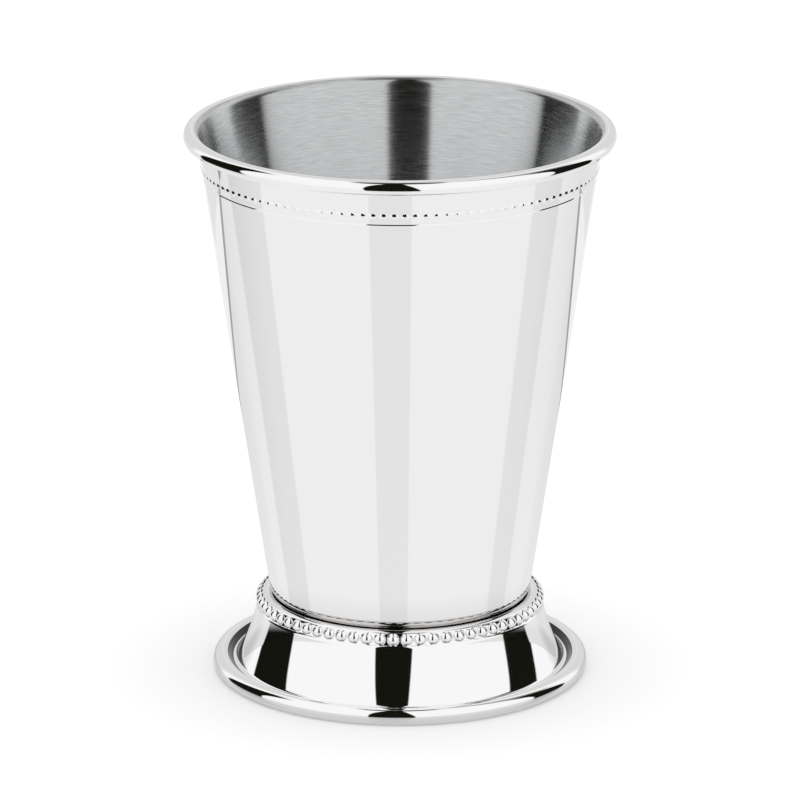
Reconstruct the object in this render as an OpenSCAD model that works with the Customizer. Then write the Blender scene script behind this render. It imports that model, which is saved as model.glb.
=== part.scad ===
// Julep cup: a drawn steel beaker with a rolled and beaded rim, spot welded to a pressed and beaded foot.
// Millimetres, +Z up. The origin is the middle of the face that the cup stands on.
// Each sheet is one closed outline, distance from the axis against height, turned about the axis.

/* [Beaker] */
// Height of the whole cup
cup_height = 110; // [95:1:130]
// Outside diameter over the rolled rim
rim_diameter = 84; // [78:0.5:92]
// Outside diameter of the wall where the heel curve starts
heel_diameter = 51.6; // [50:0.1:53]
// Height at which the heel curve starts
heel_height = 17.6; // [16.5:0.1:19]
// Outside radius of the heel curve
heel_radius = 4; // [3.6:0.1:4.6]
// Thickness of the beaker's sheet
cup_sheet = 0.5; // [0.4:0.05:0.6]
// Diameter of the roll at the rim
rim_roll_diameter = 3; // [2.4:0.1:3.8]
// Open gap between the end of the rim roll and the wall
rim_roll_gap = 0.2; // [0.1:0.05:0.4]

/* [Rim beads] */
// Number of beads round the wall
rim_bead_count = 114; // [90:1:120]
// Height of the bead centres below the top of the rim
rim_bead_drop = 7.6; // [6:0.1:8.1]
// Width of one bead
rim_bead_width = 1.8; // [1.4:0.1:2]
// How far a bead stands out of the wall
rim_bead_rise = 0.25; // [0.15:0.05:0.35]
// Height of the fine rolled line below the top of the rim
line_drop = 9.2; // [8.6:0.1:12]
// Radius of the roller that makes the fine line
line_radius = 0.5; // [0.3:0.1:0.8]
// Depth of the fine line
line_depth = 0.06; // [0.03:0.01:0.1]

/* [Foot] */
// Outside diameter over the rolled ring
foot_diameter = 73.8; // [70:0.2:80]
// Thickness of the foot's sheet
foot_sheet = 0.5; // [0.4:0.05:0.55]
// Diameter of the rolled ring
ring_roll_diameter = 3.56; // [3.2:0.02:4]
// Width of the flat land on which the ring stands
land_width = 1.2; // [0.8:0.1:1.4]
// Angle round the ring at which the groove meets it
ring_start = 148; // [140:1:155]
// Angle through which the sheet is rolled to make the ring
ring_turn = 300; // [270:5:310]
// Radius of the groove between the skirt and the ring
groove_radius = 0.9; // [0.6:0.1:1.1]
// Slope of the skirt at its top, away from upright
skirt_slope = 9; // [7:1:12]
// Radius of the edge between the ledge and the skirt
shoulder_radius = 0.8; // [0.7:0.05:1]
// Angle below level at which the seat leaves the heel curve
seat_wrap = 54; // [48:1:58]
// Length of the straight flare between the seat and the crest
flare_length = 1.3; // [1.1:0.05:1.5]
// Radius of the crest between the flare and the bead row
crest_radius = 1.5; // [1.3:0.05:1.7]
// Diameter of the hole in the flange under the bottom
flange_hole = 24; // [18:1:26]

/* [Foot beads] */
// Number of beads round the foot
foot_bead_count = 66; // [50:1:66]
// Width of one bead
foot_bead_width = 2.5; // [2.2:0.05:2.5]
// How far a bead stands out of the face of the row
foot_bead_rise = 0.75; // [0.6:0.05:0.85]
// Place of a bead's middle down the face of the row
foot_bead_drop = 0.35; // [0.2:0.05:0.5]
// Tilt of the bead row's face, up from facing sideways
bead_face_tilt = 14; // [10:1:18]
// Length of the bead row's face down its slope
bead_face_length = 1.3; // [1.1:0.05:1.5]
// Radius of the corner under the bead row
bead_corner = 0.4; // [0.3:0.05:0.5]
// Tilt of the ledge under the bead row, up from facing sideways
ledge_tilt = 50; // [45:1:60]

/* [Weld spots] */
// Number of weld spots
weld_count = 6; // [4:1:8]
// Diameter of one weld spot
weld_diameter = 4; // [3:0.1:5]
// Diameter of the circle on which the weld spots lie
weld_circle = 34; // [33:0.5:36]

/* [Hidden] */
$fn = 96;
// Most that a straight piece of an outline departs from its arc
chord_error = 0.02;
// Points of an outline closer than this are one point
same_place = 0.001;
// Overrun of the cutting shapes past what they cut
overrun = 1;
// How deep the flat back of a bead lies in its sheet, as a share of the sheet
bead_root_share = 0.8;
full_turn = 360;
half_turn = 180;
quarter_turn = 90;

// Beaker: the wall's outer face runs from the heel curve to the inside of the rim roll
rim_roll_radius = rim_roll_diameter / 2;
rim_roll_hollow = rim_roll_radius - cup_sheet;
rim_centre = [rim_diameter / 2 - rim_roll_radius, cup_height - rim_roll_radius];
heel_start = [heel_diameter / 2, heel_height];
heel_to_rim = rim_centre - heel_start;
wall_slope = atan2(heel_to_rim[0], heel_to_rim[1]) - asin(rim_roll_hollow / norm(heel_to_rim));
wall_normal = unit(-wall_slope);
heel_centre = heel_start - heel_radius * wall_normal;
seat_height = heel_centre[1] - heel_radius;
rim_roll_start = half_turn - wall_slope;
rim_roll_turn = full_turn - acos((rim_roll_hollow - rim_roll_gap) / rim_roll_radius);

// Rim beads: caps of a ball that is wider than the bead
rim_bead_ball = (pow(rim_bead_width / 2, 2) + pow(rim_bead_rise, 2)) / (2 * rim_bead_rise);
rim_bead_place = wall_at(cup_height - rim_bead_drop);
line_centre = wall_at(cup_height - line_drop) + (line_radius - line_depth) * wall_normal;

// Foot: arcs that touch one another, from the seat to the ring
crest_centre = heel_centre + (heel_radius + crest_radius) * unit(-seat_wrap)
    + flare_length * unit(quarter_turn - seat_wrap);
bead_face_start = crest_centre + crest_radius * unit(bead_face_tilt);
bead_face_end = bead_face_start + bead_face_length * unit(bead_face_tilt - quarter_turn);
corner_centre = bead_face_end + bead_corner * unit(bead_face_tilt);
shoulder_centre = corner_centre - (bead_corner + shoulder_radius) * unit(ledge_tilt);
skirt_start = shoulder_centre + shoulder_radius * unit(skirt_slope);
ring_radius = ring_roll_diameter / 2;
ring_centre = [foot_diameter / 2 - ring_radius, sqrt(pow(ring_radius, 2) - pow(land_width / 2, 2))];
groove_centre = ring_centre + (ring_radius + groove_radius) * unit(ring_start);
// The skirt is one arc that leaves the shoulder at its slope and touches the groove's arc.
// It is hollow on a wide foot, and on a narrow one its radius is negative and it bulges.
skirt_span = skirt_start - groove_centre;
skirt_radius = (pow(groove_radius, 2) - skirt_span * skirt_span)
    / (2 * (skirt_span * unit(skirt_slope) + groove_radius));
skirt_centre = skirt_start + skirt_radius * unit(skirt_slope);
groove_facing = (skirt_centre - groove_centre) / (skirt_radius - groove_radius);
groove_slope = atan2(groove_facing[1], groove_facing[0]);

// Foot beads: caps of a ball on the face between the crest and the ledge
foot_bead_ball = (pow(foot_bead_width / 2, 2) + pow(foot_bead_rise, 2)) / (2 * foot_bead_rise);
foot_bead_place = bead_face_start + foot_bead_drop * unit(bead_face_tilt - quarter_turn);

// A step of one in the direction of an angle
function unit(angle) = [cos(angle), sin(angle)];

// Point of the wall's outer face at a height
function wall_at(height) = [heel_start[0] + (height - heel_start[1]) * tan(wall_slope), height];

// Points along an arc, close enough together for the chord error
function arc(centre, radius, from, to) =
    let (steps = ceil(abs(to - from) / (2 * acos(1 - chord_error / abs(radius)))))
    [for (i = [0:steps]) centre + radius * unit(from + (to - from) * i / steps)];

// The same points in the opposite order
function backward(line) = [for (i = [len(line) - 1:-1:0]) line[i]];

// The points without any that repeats the one before it
function distinct(line) =
    [for (i = [0:len(line) - 1])
        if (i == 0 || norm(line[i] - line[max(i - 1, 0)]) > same_place) line[i]];

// Line of the beaker's sheet at a depth under its outer face, from the axis to the end of the rim roll
function cup_line(depth) = distinct(concat(
    [[0, seat_height + depth]],
    arc(heel_centre, heel_radius - depth, -quarter_turn, -wall_slope),
    arc(rim_centre, rim_roll_hollow + depth, rim_roll_start, rim_roll_start - rim_roll_turn)));

// Line of the foot's sheet at a depth under its upper face, from the flange's hole to the end of the ring
function foot_line(depth) = distinct(concat(
    [[flange_hole / 2, seat_height - depth]],
    arc(heel_centre, heel_radius + depth, -quarter_turn, -seat_wrap),
    arc(crest_centre, crest_radius - depth, half_turn - seat_wrap, bead_face_tilt),
    arc(corner_centre, bead_corner + depth, half_turn + bead_face_tilt, half_turn + ledge_tilt),
    arc(shoulder_centre, shoulder_radius - depth, ledge_tilt, skirt_slope),
    arc(skirt_centre, skirt_radius + depth, half_turn + skirt_slope, half_turn + groove_slope),
    arc(groove_centre, groove_radius + depth, half_turn + groove_slope, half_turn + ring_start),
    arc(ring_centre, ring_radius - depth, ring_start, ring_start - ring_turn)));

// A bead: the cap of a ball, rise high over its foot at zero height, with a root below that
module bead(ball, rise, root) {
    translate([0, 0, rise - ball])
        rotate_extrude()
            intersection() {
                circle(ball);
                translate([0, ball - rise - root])
                    square([ball, rise + root]);
            }
}

// Copies round the axis of something that stands on a place of an outline and faces up by a tilt
module row(count, place, tilt) {
    for (i = [0:count - 1])
        rotate([0, 0, full_turn * i / count])
            translate([place[0], 0, place[1]])
                rotate([0, quarter_turn - tilt, 0])
                    children();
}

// Round places of the weld spots, from one height to another
module weld_places(bottom, top) {
    for (i = [0:weld_count - 1])
        rotate([0, 0, full_turn * i / weld_count])
            translate([weld_circle / 2, 0, bottom])
                cylinder(h = top - bottom, d = weld_diameter);
}

module cup_body() {
    color("gainsboro")
        difference() {
            union() {
                rotate_extrude()
                    polygon(concat(cup_line(0), backward(cup_line(cup_sheet))));
                row(rim_bead_count, rim_bead_place, -wall_slope)
                    bead(rim_bead_ball, rim_bead_rise, cup_sheet * bead_root_share);
            }
            rotate_extrude()
                translate(line_centre)
                    circle(line_radius);
            weld_places(seat_height - overrun, seat_height + cup_sheet / 2);
        }
}

module foot() {
    color("gainsboro")
        difference() {
            union() {
                rotate_extrude()
                    polygon(concat(foot_line(0), backward(foot_line(foot_sheet))));
                row(foot_bead_count, foot_bead_place, bead_face_tilt)
                    bead(foot_bead_ball, foot_bead_rise, foot_sheet * bead_root_share);
            }
            weld_places(seat_height - foot_sheet - overrun, seat_height + overrun);
            translate([0, 0, -ring_roll_diameter])
                cylinder(h = ring_roll_diameter, d = foot_diameter + overrun);
        }
}

module weld_spots() {
    color("silver")
        weld_places(seat_height - foot_sheet, seat_height + cup_sheet / 2);
}

cup_body();
foot();
weld_spots();
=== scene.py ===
# Julep cup: a drawn and mirror polished steel beaker, satin inside, welded to a pressed and beaded foot.
# Metres, +Z up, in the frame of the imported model. Each sheet is one closed outline turned about the Z axis.

import math
from collections import namedtuple

import bpy
from bpy.props import (
    FloatProperty,
    FloatVectorProperty,
    IntProperty,
    PointerProperty,
)
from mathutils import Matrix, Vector


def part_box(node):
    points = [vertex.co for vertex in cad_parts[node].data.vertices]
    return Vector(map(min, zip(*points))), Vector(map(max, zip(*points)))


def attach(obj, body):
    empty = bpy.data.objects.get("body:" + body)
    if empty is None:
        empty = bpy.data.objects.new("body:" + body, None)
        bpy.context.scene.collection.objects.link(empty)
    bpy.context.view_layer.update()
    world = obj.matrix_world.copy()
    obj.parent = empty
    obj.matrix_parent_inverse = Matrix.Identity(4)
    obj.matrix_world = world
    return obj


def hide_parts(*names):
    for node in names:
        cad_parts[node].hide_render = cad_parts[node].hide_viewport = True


bl_info = {
    "name": "Julep cup",
    "version": (1, 0, 0),
    "blender": (4, 5, 0),
    "location": "3D Viewport > Sidebar > Julep cup",
    "description": "Builds a julep cup with a beaded rim and a beaded foot",
    "category": "Object",
}

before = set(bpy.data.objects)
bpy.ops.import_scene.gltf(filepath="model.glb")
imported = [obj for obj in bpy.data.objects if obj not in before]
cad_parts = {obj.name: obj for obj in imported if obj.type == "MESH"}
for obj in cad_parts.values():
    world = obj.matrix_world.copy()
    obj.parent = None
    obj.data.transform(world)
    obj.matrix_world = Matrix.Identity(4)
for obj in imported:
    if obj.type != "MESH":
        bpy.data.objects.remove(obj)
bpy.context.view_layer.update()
CUP_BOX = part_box("cup_body")
FOOT_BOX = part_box("foot")
BODY = "root"

MM = 0.001
FULL_TURN = 2 * math.pi
HALF_TURN = math.pi
QUARTER_TURN = math.pi / 2


# Settings

def length(name, text, default):
    """A size in metres that the sidebar shows as a length."""
    return FloatProperty(
        name=name, description=text, default=default, min=0, precision=5, unit="LENGTH", subtype="DISTANCE"
    )


def angle(name, text, degrees):
    """An angle that is written here in degrees."""
    return FloatProperty(
        name=name, description=text, default=math.radians(degrees), unit="ROTATION", subtype="ANGLE"
    )


def number(name, text, default):
    """A number with no unit."""
    return FloatProperty(name=name, description=text, default=default)


def count(name, text, default):
    """How many of something."""
    return IntProperty(name=name, description=text, default=default, min=3)


def linear(hex_colour):
    """A colour written as sRGB hex, turned to the linear values that shaders use."""
    shares = [int(hex_colour[i:i + 2], 16) / 255 for i in (1, 3, 5)]
    return tuple(s / 12.92 if s <= 0.04045 else ((s + 0.055) / 1.055) ** 2.4 for s in shares)


def colour(name, text, hex_colour):
    """A colour that is written here as sRGB hex."""
    return FloatVectorProperty(
        name=name, description=text, default=linear(hex_colour), size=3, min=0, max=1, subtype="COLOR"
    )


class BeakerSettings(bpy.types.PropertyGroup):
    """Sizes of the drawn beaker."""

    height: length("Height", "Height of the whole cup", CUP_BOX[1].z)
    rim_diameter: length("Rim diameter", "Outside diameter over the roll", CUP_BOX[1].x - CUP_BOX[0].x)
    heel_diameter: length("Heel diameter", "Outside diameter where the heel curve starts", 51.6 * MM)
    heel_height: length("Heel height", "Height at which the heel curve starts", 17.6 * MM)
    heel_radius: length("Heel radius", "Outside radius of the heel curve", 4 * MM)
    sheet: length("Sheet", "Thickness of the beaker's sheet", 0.5 * MM)
    roll_diameter: length("Roll diameter", "Diameter of the roll at the rim", 3 * MM)
    roll_gap: length("Roll gap", "Open gap between the roll's end and the wall", 0.2 * MM)
    satin_edge: angle("Satin edge", "Angle up round the roll at which the brushing starts", 118)
    line_drop: length("Line drop", "Height of the fine line below the top", 9.2 * MM)
    line_radius: length("Line radius", "Radius of the roller that makes the fine line", 0.5 * MM)
    line_depth: length("Line depth", "Depth of the fine line", 0.06 * MM)
    columns: count("Columns", "Faces round the beaker", 288)


class FootSettings(bpy.types.PropertyGroup):
    """Sizes of the pressed foot."""

    diameter: length("Diameter", "Outside diameter over the rolled ring", FOOT_BOX[1].x - FOOT_BOX[0].x)
    sheet: length("Sheet", "Thickness of the foot's sheet", 0.5 * MM)
    ring_diameter: length("Ring diameter", "Diameter of the rolled ring", 3.56 * MM)
    land_width: length("Land width", "Width of the flat land under the ring", 1.2 * MM)
    ring_start: angle("Ring start", "Angle round the ring at which the groove meets it", 148)
    ring_turn: angle("Ring turn", "Angle through which the sheet is rolled", 300)
    groove_radius: length("Groove radius", "Radius of the groove between skirt and ring", 0.9 * MM)
    # Between these two angles the upper face is painted shade: near black where the groove's shade and dark
    # reflections fall
    shade_band_start: angle("Shade band start", "Angle round the groove at which its band of painted shade starts", 278)
    shade_band_end: angle("Shade band end", "Angle round the ring at which the band of painted shade ends", 125)
    skirt_slope: angle("Skirt slope", "Slope of the skirt at its top, away from upright", 9)
    shoulder_radius: length("Shoulder radius", "Radius between the bead row and the skirt", 0.8 * MM)
    seat_wrap: angle("Seat wrap", "Angle below level at which the seat leaves the heel", 54)
    flare_length: length("Flare length", "Straight part between the seat and the crest", 1.3 * MM)
    crest_radius: length("Crest radius", "Radius between the flare and the bead row", 1.5 * MM)
    flange_hole: length("Flange hole", "Diameter of the hole in the flange", 24 * MM)
    bead_tilt: angle("Bead tilt", "Tilt of the bead row's face, up from sideways", 14)
    bead_face: length("Bead face", "Length of the bead row's face down its slope", 1.3 * MM)
    bead_corner: length("Bead corner", "Radius of the corner under the bead row", 0.4 * MM)
    ledge_tilt: angle("Ledge tilt", "Steepest tilt of the ledge under the bead row", 50)
    columns: count("Columns", "Faces round the foot", 288)


class BeadSettings(bpy.types.PropertyGroup):
    """Sizes of the two rows of beads."""

    rim_count: count("Rim beads", "Number of beads round the wall", 114)
    rim_drop: length("Rim bead drop", "Height of the bead centres below the top", 7.6 * MM)
    rim_width: length("Rim bead width", "Width of one bead", 1.8 * MM)
    rim_height: length("Rim bead height", "Height of one bead", 1.1 * MM)
    rim_rise: length("Rim bead rise", "How far a bead stands out of the wall", 0.14 * MM)
    foot_count: count("Foot beads", "Number of beads round the foot", 66)
    foot_width: length("Foot bead width", "Width of one bead", 2.5 * MM)
    foot_rise: length("Foot bead rise", "How far a bead stands out of the row's face", 0.75 * MM)
    foot_drop: length("Foot bead drop", "Place of a bead's middle down the row's face", 0.35 * MM)
    rim_sides: count("Rim bead sides", "Faces round one rim bead", 16)
    rim_rings: count("Rim bead rings", "Rings of faces on one rim bead", 5)
    foot_sides: count("Foot bead sides", "Faces round one foot bead", 20)
    foot_rings: count("Foot bead rings", "Rings of faces on one foot bead", 7)


class WeldSettings(bpy.types.PropertyGroup):
    """Sizes of the marks that the electrodes leave under the flange."""

    spots: count("Spots", "Number of weld spots", 6)
    diameter: length("Spot diameter", "Diameter of one weld spot", 4 * MM)
    circle: length("Spot circle", "Diameter of the circle on which they lie", 34 * MM)
    lip_width: length("Lip width", "Width of each side of the raised lip round a spot", 0.25 * MM)
    lip_rise: length("Lip rise", "How far the lip stands out of the flange", 0.07 * MM)
    floor_rise: length("Spot rise", "How far the spot's flat middle stands out of the flange", 0.02 * MM)
    sides: count("Spot sides", "Faces round one spot", 48)


class FinishSettings(bpy.types.PropertyGroup):
    """Colours of the finishes and the lean of the brush lines."""

    mirror: colour("Mirror steel", "Reflection of the mirror polished outside", "#F7F7F8")
    soft: colour("Soft steel", "Reflection of the crevice over the foot", "#D4D2D0")
    # Painted shade: the near black colour of the band in the groove and on the ring's inner flank
    dull: colour("Painted groove shade", "Painted shade of the band in the groove and on the ring's inner flank", "#2B2927")
    satin: colour("Satin steel", "Reflection of the brushed inside", "#D3D4D5")
    grit: colour("Brush lines", "Reflection of the brush lines", "#BBBCBD")
    brush_lean: number("Brush lean", "How far the brush lines' faces lean up, as a slope", 0.25)
    weld: colour("Weld metal", "Reflection of a cleaned weld spot", "#8F8B86")


class StudioSettings(bpy.types.PropertyGroup):
    """Camera, floor and light."""

    camera_distance: length("Camera distance", "Level distance from the cup's axis", 1.2261)
    camera_height: length("Camera height", "Height above the floor", 0.4295)
    camera_pitch: angle("Camera pitch", "How far the camera looks down", 17)
    lens: FloatProperty(
        name="Lens", description="Focal length on a 36 mm sensor", default=294.7, unit="CAMERA"
    )
    floor_size: length("Floor size", "Width of the floor", 12)
    board_reach: length("Board reach", "Distance from the axis to which metal shows the board", 0.275)
    board_front: length("Board front", "The same distance towards the camera", 0.225)
    # Painted shadow: metal sees the board darker near the ring, from the first reach out to the second
    contact_shadow_reach: length("Contact shadow reach", "Distance from the axis at which the painted shadow is darkest", 0.037)
    shade_reach: length("Shade reach", "Distance from the axis at which the cup's shade ends", 0.058)
    contact_shadow: colour("Contact shadow", "Painted shadow on the board beside the ring", "#D2D2D2")
    tent: colour("Tent", "White cloth of the light tent", "#FFFFFF")
    tent_back: colour("Tent back", "Cloth behind the cup, which gets less light", "#DEDEDE")
    gap: colour("Gap", "Dark studio seen through the tent's gaps", "#14150F")
    haze: colour("Haze", "Cloth over the right gap", "#A0A0A0")
    dim: colour("Dim", "Cloth that gets little light", "#606060")
    board: colour("Board", "White board under the cup, as the metal shows it", "#F7F7F7")
    board_shade: colour("Board shade", "The board in front of a gap", "#E8E8E8")
    board_back: colour("Board back", "Share of the light that the board gets at its rear edge", "#F0F0F0")
    # Painted shade: a dark line where the board meets the tent
    crease_shade: colour("Crease shade", "Where the board meets the tent", "#969696")
    crease_start: length("Crease start", "Distance behind the axis at which the board ends", 0.158)
    crease_end: length("Crease end", "Distance behind the axis at which the tent starts", 0.172)
    floor: colour("Floor", "White board under the cup", "#FFFFFF")
    room_light: number("Room light", "Strength of the light from all sides", 0.93)
    lamp_power: FloatProperty(name="Lamp power", description="Power of the lamp", default=6, unit="POWER")
    lamp_size: length("Lamp size", "Width of the lamp overhead", 1.2)
    lamp_height: length("Lamp height", "Height of the lamp overhead", 1.6)


class JulepCupSettings(bpy.types.PropertyGroup):
    """All settings of the cup and its studio."""

    beaker: PointerProperty(type=BeakerSettings)
    foot: PointerProperty(type=FootSettings)
    beads: PointerProperty(type=BeadSettings)
    welds: PointerProperty(type=WeldSettings)
    finish: PointerProperty(type=FinishSettings)
    studio: PointerProperty(type=StudioSettings)


# Outlines: runs of points, distance from the axis against height, each with the way its face looks

Point = namedtuple("Point", "place facing")
Run = namedtuple("Run", "points finish")
Lane = namedtuple("Lane", "low high low_facing high_facing finish")

# The turn between two points of an arc, the same inside a roll, and how close two points are one
ARC_STEP = math.radians(5)
HIDDEN_STEP = math.radians(15)
CLOSE = 0.0005 * MM

# The finishes' names, which the runs carry
MIRROR = "Mirror polished stainless steel"
SOFT = "Soft polished stainless steel"
# The near black band in the groove and on the ring's inner flank, which is painted shade
PAINTED_GROOVE_SHADE = "Stainless steel with painted groove shade"
SATIN = "Satin brushed stainless steel"
WELD = "Weld metal"


def unit(turn):
    """A step of one in the direction of an angle."""
    return Vector((math.cos(turn), math.sin(turn)))


def arc(centre, radius, start, end, outward=1, finish=MIRROR, step=ARC_STEP):
    """A round run. Its face looks away from the centre, or with outward -1 towards it."""
    steps = max(2, math.ceil(abs(end - start) / step))
    turns = [start + (end - start) * i / steps for i in range(steps + 1)]
    return Run([Point(centre + radius * unit(t), outward * unit(t)) for t in turns], finish)


def straight(start, end, facing, finish=MIRROR, pieces=1):
    """A straight run between two places, in equal pieces."""
    places = [start + (end - start) * i / pieces for i in range(pieces + 1)]
    return Run([Point(p, facing) for p in places], finish)


def reversed_runs(runs):
    """The runs walked from the last point to the first."""
    return [Run(run.points[::-1], run.finish) for run in runs[::-1]]


def closing_edge(first, last):
    """The cut edge of a sheet, from one outline to the other. It looks to the right of the walk."""
    along = (last - first).normalized()
    return straight(first, last, Vector((along.y, -along.x)))


def rows_and_lanes(runs):
    """The places of an outline, each once, and the lanes of faces between them.

    Where the outline comes back to its start, the last lane ends in the first row. A lane with no width
    or on the axis makes no faces."""
    rows = []
    lanes = []
    for run in runs:
        before = None
        for point in run.points:
            if not rows or (point.place - rows[-1]).length > CLOSE:
                rows.append(point.place)
            here = len(rows) - 1
            if before:
                lanes.append(Lane(before[0], here, before[1], point.facing, run.finish))
            before = (here, point.facing)
    if (rows[0] - rows[-1]).length <= CLOSE:
        rows.pop()
    closed = [lane._replace(low=lane.low % len(rows), high=lane.high % len(rows)) for lane in lanes]
    return rows, [
        lane for lane in closed
        if lane.low != lane.high and max(rows[lane.low].x, rows[lane.high].x) > CLOSE
    ]


def lane_corners(lane, rows, column, following):
    """The corners of one face of a lane, as row, facing and column. A row on the axis has only one."""
    corners = [(lane.low, lane.low_facing, column), (lane.low, lane.low_facing, following)]
    if rows[lane.low].x <= CLOSE:
        corners = [(lane.low, lane.low_facing, 0)]
    if rows[lane.high].x <= CLOSE:
        return corners + [(lane.high, lane.high_facing, 0)]
    return corners + [(lane.high, lane.high_facing, following), (lane.high, lane.high_facing, column)]


def turned_mesh(name, runs, columns, finishes=(MIRROR,)):
    """A closed mesh: the runs turned about the Z axis, with the exact normals of the outline.

    The runs follow one another, walked so that the outside is on the right."""
    rows, lanes = rows_and_lanes(runs)
    directions = [FULL_TURN * c / columns for c in range(columns)]
    vertices = []
    row_starts = []
    for place in rows:
        row_starts.append(len(vertices))
        if place.x <= CLOSE:
            vertices.append((0, 0, place.y))
        else:
            vertices += [(place.x * math.cos(d), place.x * math.sin(d), place.y) for d in directions]
    faces = []
    normals = []
    slots = []
    for lane in lanes:
        for c in range(columns):
            corners = lane_corners(lane, rows, c, (c + 1) % columns)
            faces.append([row_starts[row] + column for row, _, column in corners])
            for _, facing, column in corners:
                turn = directions[column]
                normals.append((facing.x * math.cos(turn), facing.x * math.sin(turn), facing.y))
            slots.append(finishes.index(lane.finish))
    mesh = bpy.data.meshes.new(name)
    mesh.from_pydata(vertices, [], faces)
    mesh.polygons.foreach_set("use_smooth", [True] * len(faces))
    mesh.polygons.foreach_set("material_index", slots)
    mesh.normals_split_custom_set(normals)
    mesh.update()
    return mesh


def finish_named(name):
    """A finish that an earlier step made."""
    material = bpy.data.materials.get(name)
    if material is None:
        raise RuntimeError(f"make the finishes first: there is no {name}")
    return material


def new_piece(name, mesh, node, finishes=()):
    """A piece of the cup that rides on its body and stands for a node."""
    piece = bpy.data.objects.new(name, mesh)
    bpy.context.scene.collection.objects.link(piece)
    for finish in finishes:
        mesh.materials.append(finish_named(finish))
    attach(piece, BODY)
    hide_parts(node)


# Outline of the beaker

class BeakerShape:
    """Places of the beaker's outline, worked out from its settings."""

    finishes = (MIRROR, SATIN, SOFT)

    # Faces along the straight parts
    wall_pieces = 12
    collar_pieces = 2
    bottom_pieces = 8

    def __init__(self, s):
        self.s = s
        self.roll_radius = s.roll_diameter / 2
        self.roll_hollow = self.roll_radius - s.sheet
        self.rim_centre = Vector((s.rim_diameter / 2 - self.roll_radius, s.height - self.roll_radius))
        self.heel_start = Vector((s.heel_diameter / 2, s.heel_height))
        across = self.rim_centre - self.heel_start
        self.slope = math.atan2(across.x, across.y) - math.asin(self.roll_hollow / across.length)
        self.facing = unit(-self.slope)
        self.heel_centre = self.heel_start - s.heel_radius * self.facing
        self.seat = self.heel_centre.y - s.heel_radius
        self.roll_start = HALF_TURN - self.slope
        self.roll_turn = FULL_TURN - math.acos((self.roll_hollow - s.roll_gap) / self.roll_radius)

    def wall_at(self, height):
        """Place on the wall's outer face at a height."""
        return Vector((self.heel_start.x + (height - self.heel_start.y) * math.tan(self.slope), height))

    def outside(self):
        """The outer face, from the axis to the inside of the rim roll's end."""
        s = self.s
        wall_top = self.rim_centre + self.roll_hollow * unit(self.roll_start)
        line_place = self.wall_at(s.height - s.line_drop)
        line_centre = line_place + (s.line_radius - s.line_depth) * self.facing
        line_half = math.acos((s.line_radius - s.line_depth) / s.line_radius)
        line_side = s.line_radius * math.sin(line_half)
        along = unit(QUARTER_TURN - self.slope)
        line_turn = HALF_TURN - self.slope
        return [
            straight(
                Vector((0, self.seat)), Vector((self.heel_centre.x, self.seat)), Vector((0, -1)),
                SOFT, self.bottom_pieces,
            ),
            arc(self.heel_centre, s.heel_radius, -QUARTER_TURN, -self.slope, 1, SOFT),
            straight(
                self.heel_start, line_place - line_side * along, self.facing, MIRROR, self.wall_pieces
            ),
            arc(line_centre, s.line_radius, line_turn + line_half, line_turn - line_half, -1),
            straight(line_place + line_side * along, wall_top, self.facing, MIRROR, self.collar_pieces),
            arc(
                self.rim_centre, self.roll_hollow, self.roll_start, self.roll_start - self.roll_turn,
                -1, MIRROR, HIDDEN_STEP,
            ),
        ]

    def inside(self):
        """The inner face, from the rim roll's end, over the roll and down to the axis."""
        s = self.s
        depth = s.sheet
        roll_end = self.roll_start - self.roll_turn
        lip = self.rim_centre + self.roll_radius * unit(self.roll_start)
        heel_end = self.heel_centre + (s.heel_radius - depth) * self.facing
        bottom = self.seat + depth
        return [
            arc(self.rim_centre, self.roll_radius, roll_end, s.satin_edge),
            arc(self.rim_centre, self.roll_radius, s.satin_edge, self.roll_start, 1, SATIN),
            straight(lip, heel_end, -self.facing, SATIN, self.wall_pieces),
            arc(self.heel_centre, s.heel_radius - depth, -self.slope, -QUARTER_TURN, -1, SATIN),
            straight(
                Vector((self.heel_centre.x, bottom)), Vector((0, bottom)), Vector((0, 1)),
                SATIN, self.bottom_pieces,
            ),
        ]

    def runs(self):
        """The whole closed outline."""
        outside = self.outside()
        inside = self.inside()
        edge = closing_edge(outside[-1].points[-1].place, inside[0].points[0].place)
        return [*outside, edge, *inside]


# Outline of the foot

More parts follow.
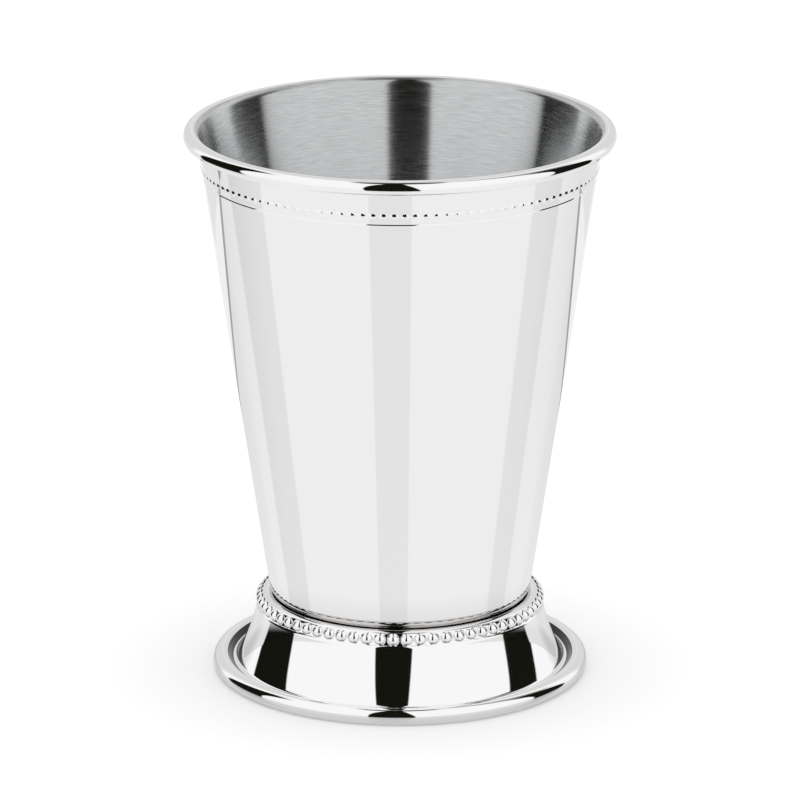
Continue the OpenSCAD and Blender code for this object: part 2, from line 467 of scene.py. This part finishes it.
class FootShape:
    """Places of the foot's outline, worked out from its settings and the beaker's heel."""

    finishes = (MIRROR, PAINTED_GROOVE_SHADE)

    # Faces along the straight parts
    flat_pieces = 4
    face_pieces = 2

    def __init__(self, s, beaker):
        self.s = s
        self.beaker = beaker
        heel = beaker.s.heel_radius
        self.flare = s.flare_length * unit(QUARTER_TURN - s.seat_wrap)
        self.crest_centre = beaker.heel_centre + (heel + s.crest_radius) * unit(-s.seat_wrap) + self.flare
        self.face_start = self.crest_centre + s.crest_radius * unit(s.bead_tilt)
        self.face_end = self.face_start + s.bead_face * unit(s.bead_tilt - QUARTER_TURN)
        self.corner_centre = self.face_end + s.bead_corner * unit(s.bead_tilt)
        self.shoulder_centre = self.corner_centre - (s.bead_corner + s.shoulder_radius) * unit(s.ledge_tilt)
        self.skirt_start = self.shoulder_centre + s.shoulder_radius * unit(s.skirt_slope)
        self.ring_radius = s.ring_diameter / 2
        ring_height = math.sqrt(self.ring_radius ** 2 - (s.land_width / 2) ** 2)
        self.ring_centre = Vector((s.diameter / 2 - self.ring_radius, ring_height))
        self.groove_centre = self.ring_centre + (self.ring_radius + s.groove_radius) * unit(s.ring_start)
        span = self.skirt_start - self.groove_centre
        reach = span.dot(unit(s.skirt_slope)) + s.groove_radius
        self.skirt_radius = (s.groove_radius ** 2 - span.dot(span)) / (2 * reach)
        self.skirt_centre = self.skirt_start + self.skirt_radius * unit(s.skirt_slope)
        groove_facing = (self.skirt_centre - self.groove_centre) / (self.skirt_radius - s.groove_radius)
        self.groove_slope = math.atan2(groove_facing.y, groove_facing.x)

    def line(self, depth, side, step, band=MIRROR):
        """The sheet's line at a depth under its upper face, from the flange's hole to the ring's end.

        side is 1 for the upper face and -1 for the lower one. band is the finish of the band in the groove
        and on the ring, which on the upper face is painted shade.
        The skirt's arc is a wide one, so it has finer steps than the others."""
        s = self.s
        heel = self.beaker.heel_centre
        heel_radius = self.beaker.s.heel_radius + depth
        corner_radius = s.bead_corner + depth
        shoulder_radius = s.shoulder_radius - depth
        groove_radius = s.groove_radius + depth
        ring_radius = self.ring_radius - depth
        seat = self.beaker.seat - depth
        flare_start = heel + heel_radius * unit(-s.seat_wrap)
        flare_facing = -side * unit(-s.seat_wrap)
        face_side = depth * unit(s.bead_tilt)
        groove_start = HALF_TURN + self.groove_slope
        groove_end = HALF_TURN + s.ring_start
        ring_end = s.ring_start - s.ring_turn
        return [
            straight(
                Vector((s.flange_hole / 2, seat)), Vector((heel.x, seat)), Vector((0, side)),
                MIRROR, self.flat_pieces,
            ),
            arc(heel, heel_radius, -QUARTER_TURN, -s.seat_wrap, -side, MIRROR, step),
            straight(flare_start, flare_start + self.flare, flare_facing, MIRROR, self.flat_pieces),
            arc(
                self.crest_centre, s.crest_radius - depth, HALF_TURN - s.seat_wrap, s.bead_tilt,
                side, MIRROR, step,
            ),
            straight(
                self.face_start - face_side, self.face_end - face_side, side * unit(s.bead_tilt),
                MIRROR, self.face_pieces,
            ),
            arc(
                self.corner_centre, corner_radius, HALF_TURN + s.bead_tilt, HALF_TURN + s.ledge_tilt,
                -side, MIRROR, step,
            ),
            arc(self.shoulder_centre, shoulder_radius, s.ledge_tilt, s.skirt_slope, side, MIRROR, step),
            arc(
                self.skirt_centre, self.skirt_radius + depth, HALF_TURN + s.skirt_slope, groove_start,
                -side, MIRROR, step / 4,
            ),
            arc(self.groove_centre, groove_radius, groove_start, s.shade_band_start, -side, MIRROR, step),
            # From here round the groove and the ring's inner flank, the band is painted shade on the upper
            # face
            arc(self.groove_centre, groove_radius, s.shade_band_start, groove_end, -side, band, step),
            arc(self.ring_centre, ring_radius, s.ring_start, s.shade_band_end, side, band, step),
            arc(self.ring_centre, ring_radius, s.shade_band_end, ring_end, side, MIRROR, step),
        ]

    def runs(self):
        """The whole closed outline, walked down the lower face and back up the upper one."""
        lower = self.line(self.s.sheet, -1, 2 * ARC_STEP)
        # The upper face carries the painted shade in its groove band
        upper = reversed_runs(self.line(0, 1, ARC_STEP, PAINTED_GROOVE_SHADE))
        ring_edge = closing_edge(lower[-1].points[-1].place, upper[0].points[0].place)
        hole_edge = closing_edge(upper[-1].points[-1].place, lower[0].points[0].place)
        return [*lower, ring_edge, *upper, hole_edge]


def flatten_land(mesh):
    """Presses flat what the ring's outline has below the floor: the land on which the cup stands."""
    for vertex in mesh.vertices:
        vertex.co.z = max(vertex.co.z, 0)
    mesh.update()


# Nodes

def add_node(tree, kind, inputs=None, **settings):
    """A node of a tree, with its settings. Each input takes a value, or the output that it links to."""
    node = tree.nodes.new(kind)
    for key, value in settings.items():
        setattr(node, key, value)
    for key, value in (inputs or {}).items():
        if isinstance(value, bpy.types.NodeSocket):
            tree.links.new(value, node.inputs[key])
        else:
            node.inputs[key].default_value = value
    return node


def opaque(rgb):
    """A colour with full alpha."""
    return (*rgb, 1.0)


def maths(tree, operation, *inputs):
    """What a maths node makes of numbers, or of other nodes' outputs."""
    return add_node(tree, "ShaderNodeMath", dict(enumerate(inputs)), operation=operation).outputs["Value"]


def vector_maths(tree, operation, *inputs):
    """What a vector maths node makes of vectors, or of other nodes' outputs."""
    made = add_node(tree, "ShaderNodeVectorMath", dict(enumerate(inputs)), operation=operation)
    return made.outputs["Vector"]


def vector_length(tree, vector):
    """The length of a vector."""
    return add_node(tree, "ShaderNodeVectorMath", {0: vector}, operation="LENGTH").outputs["Value"]


def combined(tree, **parts):
    """A vector made of its parts X, Y and Z. A part that isn't given is zero."""
    return add_node(tree, "ShaderNodeCombineXYZ", parts).outputs["Vector"]


def mapped(tree, value, start, end, low=0.0, high=1.0, **settings):
    """A value taken from the range between start and end to the one between low and high."""
    ranges = {"From Min": start, "From Max": end, "To Min": low, "To Max": high}
    return add_node(tree, "ShaderNodeMapRange", {"Value": value, **ranges}, **settings).outputs["Result"]


def mixed(tree, share, under, over, **settings):
    """A colour with a share of another one laid over it."""
    inputs = {0: share, 6: under, 7: over}
    return add_node(tree, "ShaderNodeMix", inputs, data_type="RGBA", **settings).outputs[2]


def mixed_shader(tree, share, under, over):
    """A shader with a share of another one laid over it."""
    return add_node(tree, "ShaderNodeMixShader", {0: share, 1: under, 2: over}).outputs["Shader"]


# Rows round the axis

def bead_cap(name, width, rise, sides, rings):
    """One bead: the cap of a ball, with its axis along Z and its edge at zero height."""
    half = width / 2
    ball = (half ** 2 + rise ** 2) / (2 * rise)
    start = math.acos(min(1.0, half / ball))
    centre = Vector((0, -ball * math.sin(start)))
    cap = arc(centre, ball, start, QUARTER_TURN, step=(QUARTER_TURN - start) / rings)
    return turned_mesh(name, [cap], sides)


def weld_mark(name, s):
    """The mark of one weld spot on the flange: a raised lip round a flat middle, with its axis along Z."""
    radius = s.diameter / 2
    places = [
        Vector((radius, 0)),
        Vector((radius - s.lip_width, s.lip_rise)),
        Vector((radius - 2 * s.lip_width, s.floor_rise)),
        Vector((0, s.floor_rise)),
    ]
    return turned_mesh(name, [closing_edge(*ends) for ends in zip(places, places[1:])], s.sides)


def made_oval(mesh, share):
    """The mesh with its second direction made smaller by a share, and its normals turned to suit."""
    looks = [n.vector.copy() for n in mesh.corner_normals]
    normals = [Vector((look.x, look.y / share, look.z)).normalized() for look in looks]
    for vertex in mesh.vertices:
        vertex.co.y *= share
    mesh.normals_split_custom_set(normals)
    mesh.update()
    return mesh


def row_tree():
    """Geometry Nodes: copies of a pattern round the axis, each facing out and up by a tilt.

    A copy's Z axis is the way it faces, and its X axis lies level."""
    tree = bpy.data.node_groups.new("Row round the axis", "GeometryNodeTree")
    for name, kind in (
        ("Pattern", "NodeSocketObject"),
        ("Count", "NodeSocketInt"),
        ("Circle Radius", "NodeSocketFloat"),
        ("Height", "NodeSocketFloat"),
        ("Tilt", "NodeSocketFloat"),
        ("Finish", "NodeSocketMaterial"),
    ):
        tree.interface.new_socket(name, in_out="INPUT", socket_type=kind)
    tree.interface.new_socket("Geometry", in_out="OUTPUT", socket_type="NodeSocketGeometry")
    given = add_node(tree, "NodeGroupInput").outputs
    circle = add_node(
        tree, "GeometryNodeMeshCircle", {"Vertices": given["Count"], "Radius": given["Circle Radius"]}
    )
    lifted = add_node(
        tree, "GeometryNodeSetPosition",
        {"Geometry": circle.outputs["Mesh"], "Offset": combined(tree, Z=given["Height"])},
    )
    place = add_node(tree, "GeometryNodeInputPosition").outputs["Position"]
    outward = vector_maths(tree, "NORMALIZE", vector_maths(tree, "MULTIPLY", place, (1, 1, 0)))
    cosine = maths(tree, "COSINE", given["Tilt"])
    sine = maths(tree, "SINE", given["Tilt"])
    sideways = add_node(tree, "ShaderNodeVectorMath", {0: outward, "Scale": cosine}, operation="SCALE")
    facing = vector_maths(tree, "ADD", sideways.outputs["Vector"], combined(tree, Z=sine))
    turned = add_node(tree, "FunctionNodeAlignRotationToVector", {"Vector": facing}, axis="Z")
    around = vector_maths(tree, "CROSS_PRODUCT", (0, 0, 1), outward)
    levelled = add_node(
        tree, "FunctionNodeAlignRotationToVector",
        {"Rotation": turned.outputs["Rotation"], "Vector": around}, axis="X", pivot_axis="Z",
    )
    pattern = add_node(tree, "GeometryNodeObjectInfo", {"As Instance": True, "Object": given["Pattern"]})
    row = add_node(
        tree, "GeometryNodeInstanceOnPoints",
        {
            "Points": lifted.outputs["Geometry"],
            "Instance": pattern.outputs["Geometry"],
            "Rotation": levelled.outputs["Rotation"],
        },
    )
    real = add_node(tree, "GeometryNodeRealizeInstances", {"Geometry": row.outputs["Instances"]})
    finished = add_node(
        tree, "GeometryNodeSetMaterial",
        {"Geometry": real.outputs["Geometry"], "Material": given["Finish"]},
    )
    add_node(tree, "NodeGroupOutput", {"Geometry": finished.outputs["Geometry"]})
    return tree


def row_piece(name, pattern_mesh, tree, inputs, node):
    """A piece of the cup that is a row of one pattern round the axis, as one plain mesh."""
    pattern = bpy.data.objects.new(name + "_pattern", pattern_mesh)
    holder = bpy.data.objects.new(name, bpy.data.meshes.new(name))
    for made in (pattern, holder):
        bpy.context.scene.collection.objects.link(made)
    rows = holder.modifiers.new("Row round the axis", "NODES")
    rows.node_group = tree
    values = {"Pattern": pattern, **inputs}
    for item in tree.interface.items_tree:
        if item.item_type == "SOCKET" and item.in_out == "INPUT":
            rows[item.identifier] = values[item.name]
    depsgraph = bpy.context.evaluated_depsgraph_get()
    depsgraph.update()
    mesh = bpy.data.meshes.new_from_object(holder.evaluated_get(depsgraph))
    bpy.data.objects.remove(holder)
    bpy.data.objects.remove(pattern)
    if not mesh.polygons:
        raise RuntimeError(f"the row {name} came out empty")
    mesh.name = name
    new_piece(name, mesh, node)


# Finishes

def new_material(name):
    """A material with an empty node tree."""
    material = bpy.data.materials.new(name)
    material.use_nodes = True
    material.node_tree.nodes.clear()
    return material


def object_place(tree):
    """The place on the object, which the patterns of its finishes follow."""
    return add_node(tree, "ShaderNodeTexCoord").outputs["Object"]


def noise(tree, place, scale, detail, roughness=0.5):
    """Cloudy noise at a place."""
    inputs = {"Vector": place, "Scale": scale, "Detail": detail, "Roughness": roughness}
    return add_node(tree, "ShaderNodeTexNoise", inputs).outputs["Fac"]


def level_lines(tree, place, line_length, line_width, detail):
    """Noise that is pulled out level into fine lines."""
    scale = (1 / line_length, 1 / line_length, 1 / line_width)
    stretched = add_node(tree, "ShaderNodeMapping", {"Vector": place, "Scale": scale})
    return noise(tree, stretched.outputs["Vector"], scale=1.0, detail=detail)


def bare_metal(tree, inputs):
    """Gives a material its surface of bare metal."""
    shader = add_node(tree, "ShaderNodeBsdfPrincipled", {"Metallic": 1.0, **inputs})
    add_node(tree, "ShaderNodeOutputMaterial", {"Surface": shader.outputs["BSDF"]})


def mirror_polished_steel(finish):
    """Stainless steel, buffed on wheels to a mirror: clear reflections with faint buffing haze."""
    tree = new_material(MIRROR).node_tree
    haze = noise(tree, object_place(tree), scale=1 / (22 * MM), detail=3.0, roughness=0.55)
    roughness = mapped(tree, haze, start=0.3, end=0.75, low=0.02, high=0.05)
    bare_metal(tree, {"Base Color": opaque(finish.mirror), "Roughness": roughness})


def soft_polished_steel(finish):
    """Stainless steel that polishing wheels barely reach: a soft sheen with faint lines from drawing."""
    tree = new_material(SOFT).node_tree
    # Real drawing lines are too fine to show in the render, so these are drawn 0.3 mm wide
    lines = level_lines(tree, object_place(tree), line_length=20 * MM, line_width=0.3 * MM, detail=3.0)
    roughness = mapped(tree, lines, start=0.3, end=0.7, low=0.05, high=0.07)
    bare_metal(tree, {"Base Color": opaque(finish.soft), "Roughness": roughness})


def steel_with_painted_shade(finish):
    """Painted shade: near black steel in the groove and on the ring's inner flank, where the groove's shade
    and dark reflections fall. It shines only a little.
    """
    tree = new_material(PAINTED_GROOVE_SHADE).node_tree
    bare_metal(tree, {"Base Color": opaque(finish.dull), "Roughness": 0.15})


def satin_brushed_steel(finish):
    """Stainless steel, brushed in rings: fine level lines that smear reflections into upright bands."""
    tree = new_material(SATIN).node_tree
    parts = add_node(tree, "ShaderNodeSeparateXYZ", {"Vector": object_place(tree)}).outputs
    radius = vector_length(tree, combined(tree, X=parts["X"], Y=parts["Y"]))
    # Height plus radius changes down the wall and across the bottom, so the lines are rings on both
    walked = maths(tree, "ADD", parts["Z"], radius)
    rings = combined(tree, X=parts["X"], Y=parts["Y"], Z=walked)
    # Real brush lines are too fine to show in the render, so these are drawn 0.14 mm wide
    line_width = 0.14 * MM
    lines = level_lines(tree, rings, 22 * line_width, line_width, detail=2.0)
    roughness = mapped(tree, lines, start=0.3, end=0.7, low=0.17, high=0.23)
    normal = add_node(tree, "ShaderNodeNewGeometry").outputs["Normal"]
    # Each brush line's face leans up a little, so the sheen leaves over the rim
    leaned_up = vector_maths(tree, "ADD", normal, (0, 0, finish.brush_lean))
    facing = vector_maths(tree, "NORMALIZE", leaned_up)
    relief = add_node(
        tree, "ShaderNodeBump",
        {"Strength": 0.12, "Distance": 0.02 * MM, "Height": lines, "Normal": facing},
    )
    depth = mapped(tree, lines, start=0.35, end=0.65)
    paint = mixed(tree, depth, opaque(finish.grit), opaque(finish.satin))
    around = add_node(tree, "ShaderNodeTangent", direction_type="RADIAL", axis="Z")
    bare_metal(
        tree,
        {
            "Base Color": paint, "Roughness": roughness,
            "Anisotropic": 1.0, "Anisotropic Rotation": 0.25,
            "Normal": relief.outputs["Normal"], "Tangent": around.outputs["Tangent"],
        },
    )


def weld_metal(finish):
    """Weld metal, pressed by the electrodes and wiped clean: dull, grey and a little uneven."""
    tree = new_material(WELD).node_tree
    grain = noise(tree, object_place(tree), scale=1 / (0.6 * MM), detail=4.0, roughness=0.6)
    roughness = mapped(tree, grain, start=0.0, end=1.0, low=0.35, high=0.6)
    bare_metal(tree, {"Base Color": opaque(finish.weld), "Roughness": roughness})


# Studio

# Patches of the light tent, in degrees: the turns from the camera's side between which a patch lies, how
# far each side leans with every degree of rise, the rises between which it lies, the softness of its
# edges, and its colour's name in the settings. A later patch lies over the ones before it.
Patch = namedtuple(
    "Patch", "left left_lean right right_lean low high side_edge low_edge high_edge colour"
)
TENT_PATCHES = (
    Patch(-181, 0, -138, 0, -5, 95, 12, 1, 1, "tent_back"),
    Patch(138, 0, 181, 0, -5, 95, 12, 1, 1, "tent_back"),
    Patch(-181, 0, 181, 0, -95, -5, 1, 1, 1, "board"),
    Patch(-20, 0, 8, 0, -95, -31, 3, 1, 1, "board_shade"),
    Patch(-163, 0, -91, 0, -95, -5, 3, 1, 1, "board_shade"),
    Patch(88, 0, 163, 0, -95, -5, 3, 1, 1, "board_shade"),
    Patch(-181, 0, 181, 0, 77, 95, 1, 2, 1, "dim"),
    Patch(-60, 0, 60, 0, 74, 95, 4, 4, 1, "gap"),
    Patch(-19, 0, 9.5, -0.07, -32.5, 95, 1, 1, 1, "gap"),
    Patch(88, 0, 118, 0, 30, 78, 12, 14, 14, "haze"),
    Patch(88, 0, 118, -0.28, -22, 46, 1.5, 1, 10, "gap"),
    Patch(-127, 0.25, -91.5, 0, -22, 49, 1.5, 1, 9, "gap"),
)


def past_angle(tree, value, limit, edge, above):
    """1 where an angle is above a limit in degrees, or with above False below it, with a soft edge."""
    middle = math.radians(limit)
    half = math.radians(edge) / 2
    low, high = (0.0, 1.0) if above else (1.0, 0.0)
    return mapped(tree, value, middle - half, middle + half, low, high, interpolation_type="SMOOTHSTEP")


def leaned(tree, turn, rise, lean):
    """The turn measured from a side that leans with the rise."""
    return maths(tree, "MULTIPLY_ADD", rise, -lean, turn) if lean else turn


def painted(tree, under, studio, patch, turn, rise):
    """The colour under a patch with the patch laid over it."""
    sides = (
        past_angle(tree, leaned(tree, turn, rise, patch.left_lean), patch.left, patch.side_edge, True),
        past_angle(tree, leaned(tree, turn, rise, patch.right_lean), patch.right, patch.side_edge, False),
        past_angle(tree, rise, patch.low, patch.low_edge, True),
        past_angle(tree, rise, patch.high, patch.high_edge, False),
    )
    share = sides[0]
    for side in sides[1:]:
        share = maths(tree, "MULTIPLY", share, side)
    return mixed(tree, share, under, opaque(getattr(studio, patch.colour)))


def studio_world(studio):
    """A white light tent over a white board. Metal also shows the dark studio through the tent's gaps, as a
    painted reflection: only glossy rays see the painted tent, and all other rays see plain tent.
    """
    world = bpy.data.worlds.new("Light tent")
    bpy.context.scene.world = world
    world.use_nodes = True
    tree = world.node_tree
    tree.nodes.clear()
    look = add_node(tree, "ShaderNodeTexCoord").outputs["Generated"]
    parts = add_node(tree, "ShaderNodeSeparateXYZ", {"Vector": look}).outputs
    back = maths(tree, "MULTIPLY", parts["Y"], -1.0)
    turn = maths(tree, "ARCTAN2", parts["X"], back)
    rise = maths(tree, "ARCSINE", parts["Z"])
    tent = opaque(studio.tent)
    seen = tent
    for patch in TENT_PATCHES:
        seen = painted(tree, seen, studio, patch, turn, rise)
    path = add_node(tree, "ShaderNodeLightPath").outputs
    in_metal = mixed(tree, path["Is Glossy Ray"], tent, seen)
    shown = maths(tree, "MAXIMUM", path["Is Camera Ray"], path["Is Glossy Ray"])
    shown_all = maths(tree, "MAXIMUM", shown, path["Is Transmission Ray"])
    strength = mapped(tree, shown_all, start=0.0, end=1.0, low=studio.room_light)
    light = add_node(tree, "ShaderNodeBackground", {"Color": in_metal, "Strength": strength})
    add_node(tree, "ShaderNodeOutputWorld", {"Surface": light.outputs["Background"]})


def past_length(tree, value, limit):
    """1 where a length is past a limit, with an edge of two millimetres."""
    return mapped(tree, value, limit - MM, limit + MM)


def board_paint(tree, studio, behind, reach):
    """What metal sees of the board: painted shadow by the ring, painted shade to the rear, then a dark crease
    of painted shade and the tent.
    """
    # Painted shadow of the cup on the board, darkest beside the ring
    out_of_shadow = mapped(tree, reach, studio.contact_shadow_reach, studio.shade_reach)
    paint = mixed(tree, out_of_shadow, opaque(studio.contact_shadow), opaque(studio.board))
    # Painted shade towards the board's rear edge, where it gets less light
    far = mapped(tree, behind, 0.0, studio.crease_start)
    shaded_to_rear = mixed(tree, far, paint, opaque(studio.board_back), blend_type="MULTIPLY")
    # Painted shade in the crease where the board meets the tent
    crease_shaded = mixed(tree, past_length(tree, behind, studio.crease_start), shaded_to_rear, opaque(studio.crease_shade))
    return mixed(tree, past_length(tree, behind, studio.crease_end), crease_shaded, opaque(studio.tent))


def board_top(tree, glow_colour):
    """The board's top as metal sees it: a glow of painted light in the board's paint, with a sheen that turns
    to a mirror where it is seen edge on.
    """
    painted_glow = add_node(tree, "ShaderNodeEmission", {"Color": glow_colour})
    sheen = add_node(tree, "ShaderNodeBsdfGlossy", {"Roughness": 0.05})
    slanted = add_node(tree, "ShaderNodeFresnel", {"IOR": 1.75})
    facing = add_node(tree, "ShaderNodeLayerWeight", {"Blend": 0.5}).outputs["Facing"]
    edge_on = mapped(tree, facing, start=0.76, end=0.89, interpolation_type="SMOOTHSTEP")
    mirrored = maths(tree, "MAXIMUM", slanted.outputs["Fac"], edge_on)
    return mixed_shader(tree, mirrored, painted_glow.outputs["Emission"], sheen.outputs["BSDF"])


def studio_board(studio):
    """A white board: matt to the camera, so it holds the cup's shadow, and to metal a glow of painted light
    and shade with a gloss.

    Metal sees it only as far as it reaches, and past that it sees the tent and its gaps."""
    material = new_material("White studio board")
    tree = material.node_tree
    matt = add_node(tree, "ShaderNodeBsdfDiffuse", {"Color": opaque(studio.floor)})
    place = object_place(tree)
    behind = add_node(tree, "ShaderNodeSeparateXYZ", {"Vector": place}).outputs["Y"]
    reach = vector_length(tree, place)
    top = board_top(tree, board_paint(tree, studio, behind, reach))
    past_side = maths(tree, "GREATER_THAN", reach, studio.board_reach)
    past_front = maths(tree, "LESS_THAN", behind, -studio.board_front)
    past_end = maths(tree, "MAXIMUM", past_side, past_front)
    clear = add_node(tree, "ShaderNodeBsdfTransparent").outputs["BSDF"]
    in_metal = mixed_shader(tree, past_end, top, clear)
    glossy = add_node(tree, "ShaderNodeLightPath").outputs["Is Glossy Ray"]
    shader = mixed_shader(tree, glossy, matt.outputs["BSDF"], in_metal)
    add_node(tree, "ShaderNodeOutputMaterial", {"Surface": shader})
    return material


def studio_floor(studio):
    """The white board under the cup."""
    half = studio.floor_size / 2
    corners = [(-half, -half, 0), (half, -half, 0), (half, half, 0), (-half, half, 0)]
    mesh = bpy.data.meshes.new("studio_floor")
    mesh.from_pydata(corners, [], [(0, 1, 2, 3)])
    mesh.materials.append(studio_board(studio))
    floor = bpy.data.objects.new("studio_floor", mesh)
    bpy.context.scene.collection.objects.link(floor)


def studio_camera(studio):
    """The camera, where the photograph was taken from."""
    lens = bpy.data.cameras.new("Camera")
    lens.lens = studio.lens
    camera = bpy.data.objects.new("Camera", lens)
    camera.location = (0, -studio.camera_distance, studio.camera_height)
    camera.rotation_euler = (QUARTER_TURN - studio.camera_pitch, 0, 0)
    bpy.context.scene.collection.objects.link(camera)
    bpy.context.scene.camera = camera


def studio_lamp(studio):
    """One soft lamp over the cup, which gives the floor its shadow. Metal doesn't show the lamp."""
    light = bpy.data.lights.new("Overhead lamp", "AREA")
    light.shape = "DISK"
    light.size = studio.lamp_size
    light.energy = studio.lamp_power
    lamp = bpy.data.objects.new("Overhead lamp", light)
    lamp.location = (0, 0, studio.lamp_height)
    lamp.visible_glossy = False
    bpy.context.scene.collection.objects.link(lamp)


# Operators

def cup_settings():
    """The cup's settings in this scene."""
    return bpy.context.scene.julep_cup


def shapes():
    """The outlines of the beaker and of the foot."""
    cup = cup_settings()
    beaker = BeakerShape(cup.beaker)
    return beaker, FootShape(cup.foot, beaker)


class JULEP_OT_finishes(bpy.types.Operator):
    """Make the steel finishes"""

    bl_idname = "julep.finishes"
    bl_label = "Finishes"

    def execute(self, context):
        finish = cup_settings().finish
        mirror_polished_steel(finish)
        soft_polished_steel(finish)
        steel_with_painted_shade(finish)
        satin_brushed_steel(finish)
        weld_metal(finish)
        return {"FINISHED"}


class JULEP_OT_beaker(bpy.types.Operator):
    """Make the drawn beaker with its rolled rim"""

    bl_idname = "julep.beaker"
    bl_label = "Beaker"

    def execute(self, context):
        beaker, _ = shapes()
        mesh = turned_mesh("beaker_shell", beaker.runs(), beaker.s.columns, beaker.finishes)
        new_piece("beaker_shell", mesh, "cup_body", beaker.finishes)
        return {"FINISHED"}


class JULEP_OT_foot(bpy.types.Operator):
    """Make the pressed foot with its rolled ring"""

    bl_idname = "julep.foot"
    bl_label = "Foot"

    def execute(self, context):
        _, foot = shapes()
        mesh = turned_mesh("foot_shell", foot.runs(), foot.s.columns, foot.finishes)
        flatten_land(mesh)
        new_piece("foot_shell", mesh, "foot", foot.finishes)
        return {"FINISHED"}


class JULEP_OT_beads(bpy.types.Operator):
    """Make the row of beads under the rim and the row on the foot"""

    bl_idname = "julep.beads"
    bl_label = "Bead rows"

    def execute(self, context):
        beaker, foot = shapes()
        beads = cup_settings().beads
        tree = row_tree()
        round_cap = bead_cap("rim_bead", beads.rim_width, beads.rim_rise, beads.rim_sides, beads.rim_rings)
        rim_place = beaker.wall_at(beaker.s.height - beads.rim_drop)
        row_piece(
            "rim_beads", made_oval(round_cap, beads.rim_height / beads.rim_width), tree,
            {
                "Count": beads.rim_count, "Circle Radius": rim_place.x, "Height": rim_place.y,
                "Tilt": -beaker.slope, "Finish": finish_named(MIRROR),
            },
            "cup_body",
        )
        foot_cap = bead_cap(
            "foot_bead", beads.foot_width, beads.foot_rise, beads.foot_sides, beads.foot_rings
        )
        foot_place = foot.face_start + beads.foot_drop * unit(foot.s.bead_tilt - QUARTER_TURN)
        row_piece(
            "foot_beads", foot_cap, tree,
            {
                "Count": beads.foot_count, "Circle Radius": foot_place.x, "Height": foot_place.y,
                "Tilt": foot.s.bead_tilt, "Finish": finish_named(MIRROR),
            },
            "foot",
        )
        return {"FINISHED"}


class JULEP_OT_welds(bpy.types.Operator):
    """Make the marks of the weld spots that hold the foot to the beaker"""

    bl_idname = "julep.welds"
    bl_label = "Weld spots"

    def execute(self, context):
        beaker, foot = shapes()
        welds = cup_settings().welds
        row_piece(
            "weld_marks", weld_mark("weld_mark", welds), row_tree(),
            {
                "Count": welds.spots, "Circle Radius": welds.circle / 2,
                "Height": beaker.seat - foot.s.sheet,
                "Tilt": -QUARTER_TURN, "Finish": finish_named(WELD),
            },
            "weld_spots",
        )
        return {"FINISHED"}


class JULEP_OT_studio(bpy.types.Operator):
    """Make the floor, the light and the camera"""

    bl_idname = "julep.studio"
    bl_label = "Studio"

    def execute(self, context):
        studio = cup_settings().studio
        studio_world(studio)
        studio_floor(studio)
        studio_lamp(studio)
        studio_camera(studio)
        context.scene.view_settings.view_transform = "Standard"
        return {"FINISHED"}


class JULEP_PT_sidebar(bpy.types.Panel):
    """The steps that build the cup, in order."""

    bl_label = "Julep cup"
    bl_idname = "JULEP_PT_sidebar"
    bl_space_type = "VIEW_3D"
    bl_region_type = "UI"
    bl_category = "Julep cup"

    def draw(self, context):
        for step in STEPS:
            self.layout.operator(step.bl_idname)
        for group in ("beaker", "foot", "beads", "welds", "finish", "studio"):
            box = self.layout.box()
            values = getattr(context.scene.julep_cup, group)
            for name in values.__annotations__:
                box.prop(values, name)


GROUPS = (
    BeakerSettings,
    FootSettings,
    BeadSettings,
    WeldSettings,
    FinishSettings,
    StudioSettings,
    JulepCupSettings,
)
STEPS = (
    JULEP_OT_finishes,
    JULEP_OT_beaker,
    JULEP_OT_foot,
    JULEP_OT_beads,
    JULEP_OT_welds,
    JULEP_OT_studio,
)
CLASSES = (*GROUPS, *STEPS, JULEP_PT_sidebar)


def register():
    for made in CLASSES:
        bpy.utils.register_class(made)
    bpy.types.Scene.julep_cup = PointerProperty(type=JulepCupSettings)


def unregister():
    del bpy.types.Scene.julep_cup
    for made in reversed(CLASSES):
        bpy.utils.unregister_class(made)


def main():
    """Builds everything."""
    register()
    bpy.ops.julep.finishes()
    bpy.ops.julep.beaker()
    bpy.ops.julep.foot()
    bpy.ops.julep.beads()
    bpy.ops.julep.welds()
    bpy.ops.julep.studio()


if __name__ == "__main__":
    main()
